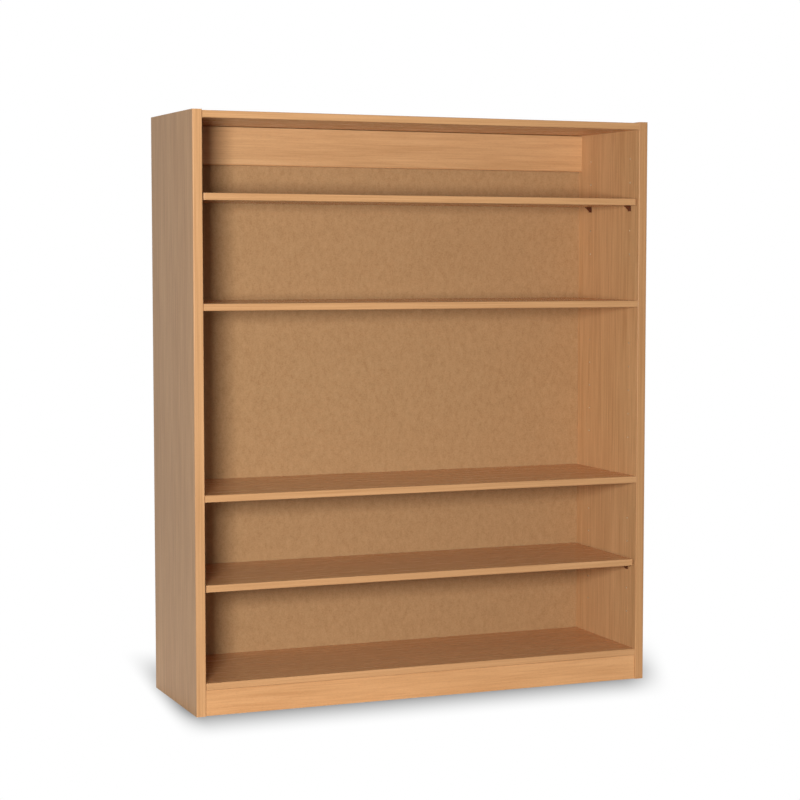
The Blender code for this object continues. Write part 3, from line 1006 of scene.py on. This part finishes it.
# How far inside and outside the footprint each step starts and ends, and how its line slants
FRONT_STEP = {"inset": 0.155, "reach": 0.252}
LEFT_STEP = {"inset": 0.0186, "reach": 0.0741, "lean": 0.098, "pivot": solid_low.y}
RIGHT_STEP = {"inset": 0.0674, "reach": 0.088, "lean": 0.472, "pivot": solid_low.y}
BACK_STEP = {"inset": 0.1985, "reach": 0.605, "lean": -0.226, "pivot": solid_low.x}


def shade_step(tree, out, other, edge, outward, inset, reach, lean=0.0, pivot=0.0):
    """1 inside one edge of the footprint, 0 outside it; the edge slants along the other coordinate."""
    slanted = maths(tree, "MULTIPLY_ADD", other, -lean, out)
    line = edge - lean * pivot
    return carried(tree, slanted, line - outward * inset, line + outward * reach, 1.0, 0.0, "SMOOTHSTEP")


def footprint_shade(tree, x, y):
    """White share of the floor round the case."""
    steps = (
        shade_step(tree, y, x, solid_low.y, -1, **FRONT_STEP),
        shade_step(tree, x, y, solid_low.x, -1, **LEFT_STEP),
        shade_step(tree, x, y, solid_high.x, 1, **RIGHT_STEP),
        shade_step(tree, y, x, solid_high.y, 1, **BACK_STEP),
    )
    shaded = steps[0]
    for step in steps[1:]:
        shaded = maths(tree, "MULTIPLY", shaded, step)
    return maths(tree, "MULTIPLY_ADD", shaded, -SHADE_DEPTH, 1.0)


print("shade reaches", FRONT_STEP["reach"], "m to the front")

# %% [markdown]
# Behind the plinth the case is hollow underneath and open at the rear, so that light reaches in a little
# way. One dark patch would show a hard line there, so the shade deepens from the rear inwards.

# %% Shade under the case
UNDER_REACH = 0.16
UNDER_DEPTH = 0.80


def under_shade(tree, x, y):
    """White share of the floor under the case; its rims lie hidden under the sides and the plinth."""
    foot = (side_face - solid_low.x) / 2
    between_sides = maths(tree, "LESS_THAN", maths(tree, "ABSOLUTE", x), solid_high.x - foot)
    behind_plinth = maths(tree, "GREATER_THAN", y, solid_low.y + foot)
    inwards = carried(tree, y, solid_high.y, solid_high.y - UNDER_REACH)
    under = maths(tree, "MULTIPLY", maths(tree, "MULTIPLY", between_sides, behind_plinth), inwards)
    return maths(tree, "MULTIPLY_ADD", under, -UNDER_DEPTH, 1.0)


print("light reaches", UNDER_REACH, "m under the case")

# %% [markdown]
# A tight dark line comes from an ambient occlusion node where a board meets the floor. For every ray that
# only bounces, the floor is white paper close round the case and grey beyond, so that light comes back up
# at the foot of the case and hardly anywhere else. A floor that is white all over would light the shelves
# from below.

# %% Floor
WHITE = (1.0, 1.0, 1.0, 1.0)
FLOOR_SIZE = 30.0
FLOOR_DROP = 0.0002
FLOOR_GREY = 0.22
PAPER_WHITE = 0.85
PAPER_REACH = (0.22, 0.38)
CONTACT_REACH = 0.03
CONTACT_DEPTH = 0.10
CONTACT_SAMPLES = 16


def paper_tone(tree, x, y):
    """White up to the paper's edge, then grey."""
    beside = maths(tree, "SUBTRACT", maths(tree, "ABSOLUTE", x), solid_high.x)
    beyond = maths(tree, "SUBTRACT", maths(tree, "ABSOLUTE", y), solid_high.y)
    return carried(tree, maths(tree, "MAXIMUM", beside, beyond), *PAPER_REACH, PAPER_WHITE, FLOOR_GREY)


def floor_paper(name):
    finish, tree, shader = new_finish(name)
    tree.nodes.remove(shader)
    occlusion = add(tree, "AmbientOcclusion", {"Distance": CONTACT_REACH}, samples=CONTACT_SAMPLES)
    white = carried(tree, occlusion.outputs["AO"], 0.0, 1.0, low=1.0 - CONTACT_DEPTH)
    place = add(tree, "SeparateXYZ", {0: add(tree, "TexCoord").outputs["Object"]}).outputs
    for shading in (footprint_shade, under_shade):
        white = maths(tree, "MULTIPLY", white, shading(tree, place["X"], place["Y"]))
    glow = add(tree, "Emission", {"Color": WHITE, "Strength": white})
    paper = add(tree, "BsdfDiffuse", {"Color": paper_tone(tree, place["X"], place["Y"])})
    both = add(tree, "MixShader", {0: looks_at_studio(tree), 1: paper.outputs[0], 2: glow.outputs[0]})
    feed(tree, tree.nodes["Material Output"].inputs["Surface"], both.outputs[0])
    return finish


floor_bm = bmesh.new()
bmesh.ops.create_grid(floor_bm, x_segments=1, y_segments=1, size=FLOOR_SIZE / 2)
floor = object_of("studio_floor", mesh_of("studio_floor", floor_bm))
floor.location.z = -FLOOR_DROP
floor.data.materials.append(floor_paper("floor_paper"))
print("floor", FLOOR_SIZE, "m across")

# %% [markdown]
# In front, the light is one softbox beside the camera and little else. Its place can be worked out from
# the shadows in the bays: the left side's shadow on the back gives its direction and width, and the drop
# of the shadows under four shelves gives its height and distance. A grid on it, which is the lamp's
# spread, lets its light fall off gently below the top shelf. A second softbox stands high behind the
# case, so that the back, the right side and the top are lit as plainly when someone walks round. It gives
# no gleam, which would wash out the top when it is seen from low in front.

# %% Light
FRONT_SOFTBOX = {"place": (-2.301, -4.09, 1.185), "size": 0.745, "power": 161.5, "aim_height": 1.45}
REAR_SOFTBOX = {"place": (2.4, 3.4, 3.6), "size": 1.5, "power": 230.0, "aim_height": 0.75}
# The grid lets light out up to this slope from straight ahead
GRID_SLOPE = 6.0
GRID_SPREAD = 2 * math.atan(GRID_SLOPE)


def softbox(name, place, size, power, aim_height, spread=math.pi, gleams=True):
    """A square area lamp aimed at the middle of the case; gleams lets it show in glossy surfaces."""
    lamp = bpy.data.lights.new(name, "AREA")
    lamp.shape = "SQUARE"
    lamp.size = size
    lamp.energy = power
    lamp.spread = spread
    stand = object_of(name, lamp)
    stand.location = place
    stand.visible_glossy = gleams
    aim = Vector((0.0, 0.0, aim_height)) - Vector(place)
    stand.rotation_euler = aim.to_track_quat("-Z", "Y").to_euler()
    print(name, "stands", round(aim.length, 2), "m from the case")


softbox("front_softbox", **FRONT_SOFTBOX, spread=GRID_SPREAD)
softbox("rear_softbox", **REAR_SOFTBOX, gleams=False)

# %% [markdown]
# A studio room also gives a soft fill, mostly from the ceiling and from the room in front. More lamps
# could give it, but each would draw its own shadow, so the world does. To the camera the world shows
# plain white, where a strength of 1 is white.

# %% Fill and backdrop
HORIZON_FILL = 0.07
CEILING_FILL = 0.20
FRONT_FILL = 0.18
world = bpy.data.worlds.new("white_studio")
bpy.context.scene.world = world
world.use_nodes = True
tree = world.node_tree
direction = add(tree, "SeparateXYZ", {0: add(tree, "TexCoord").outputs["Generated"]}).outputs
ceiling = carried(tree, direction["Z"], 0.0, 1.0, HORIZON_FILL, CEILING_FILL)
room = carried(tree, direction["Y"], 0.0, -1.0, high=FRONT_FILL)
fill = maths(tree, "ADD", ceiling, room)
strength = add(tree, "Mix", {"Factor": looks_at_studio(tree), "A": fill, "B": 1.0}).outputs["Result"]
plug(tree, tree.nodes["Background"], Color=WHITE, Strength=strength)
bpy.context.scene.view_settings.view_transform = "Standard"
print("fill from", HORIZON_FILL, "to", CEILING_FILL)

# %% [markdown]
# The camera stands five metres away, a little left of the case and at chest height. The picture was
# cropped off centre, which a small lens shift repeats without tilting any upright line.

# %% Camera
CAMERA_PLACE = Vector((-2.0455, -5.2193, 1.161))
CAMERA_YAW = math.radians(23.591)
CAMERA_PITCH = math.radians(4.493)
CAMERA_ROLL = math.radians(0.176)
LENS_MM = 95.085
SENSOR_MM = 36.0
SHIFT = (-0.10394, 0.01932)
lens = bpy.data.cameras.new("camera")
lens.lens = LENS_MM
lens.sensor_width = SENSOR_MM
lens.shift_x, lens.shift_y = SHIFT
camera = object_of("camera", lens)
turn = Matrix.Rotation(-CAMERA_YAW, 4, "Z") @ Matrix.Rotation(math.pi / 2 - CAMERA_PITCH, 4, "X")
camera.matrix_world = Matrix.Translation(CAMERA_PLACE) @ turn @ Matrix.Rotation(CAMERA_ROLL, 4, "Z")
bpy.context.scene.camera = camera
print("camera at", tuple(CAMERA_PLACE))
